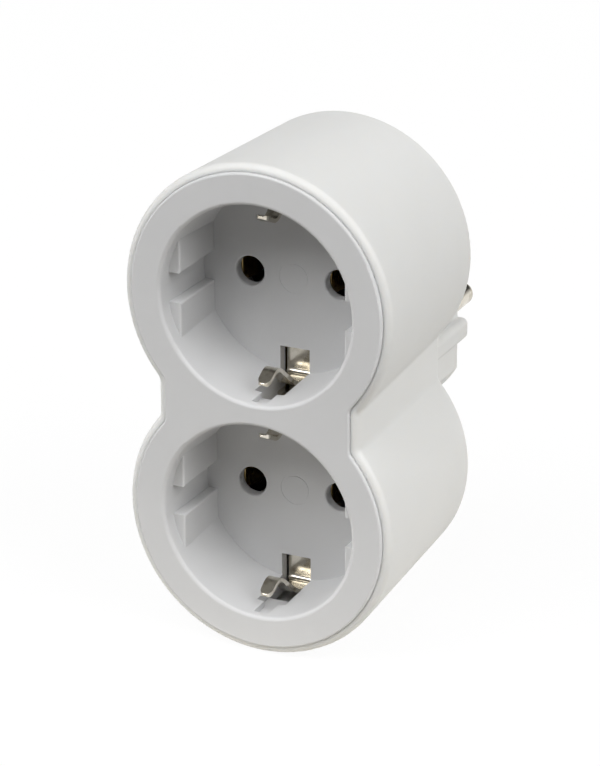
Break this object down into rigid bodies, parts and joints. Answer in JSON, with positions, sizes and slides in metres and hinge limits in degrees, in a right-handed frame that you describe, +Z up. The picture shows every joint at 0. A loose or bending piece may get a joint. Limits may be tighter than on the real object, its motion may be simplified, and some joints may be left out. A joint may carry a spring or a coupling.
{
  "type": "plug-in surge protector",
  "caption": "White figure-of-eight plug-in adapter with stacked grey earthed socket wells in front, an earthed round-pin plug behind and a surge varistor inside.",
  "frame": {"origin": "centre of the plug's end face, midway between its pins", "axes": "+Y into the wall along the pins, sockets face -Y, +Z up the wall, +X to the right seen from the front"},
  "size_m": [0.0558, 0.0792, 0.1],
  "materials": {
    "white_plastic": "fine satin moulding",
    "grey_plastic": "fine satin moulding",
    "nickel_plate": "bright nickel plate",
    "brass_strip": "rolled strip",
    "rivet_metal": "plated",
    "zinc_steel": "bright zinc",
    "varistor_coat": "dipped epoxy",
    "tinned_wire": "tinned"
  },
  "bodies": {
    "root": {"rear_housing": "white_plastic", "socket_face": "grey_plastic", "plug_pin_left": "nickel_plate", "plug_pin_right": "nickel_plate", "upper_earth_bow": "nickel_plate", "lower_earth_bow": "nickel_plate", "plug_earth_clip_top": "nickel_plate", "plug_earth_clip_bottom": "nickel_plate", "earth_bridge": "nickel_plate", "left_busbar": "brass_strip", "right_busbar": "brass_strip", "upper_left_contact": "brass_strip", "upper_right_contact": "brass_strip", "lower_left_contact": "brass_strip", "lower_right_contact": "brass_strip", "contact_rivets": "rivet_metal", "earth_rivets": "rivet_metal", "case_screws": "zinc_steel", "surge_varistor": "varistor_coat", "varistor_leads": "tinned_wire"}
  },
  "joints": []
}
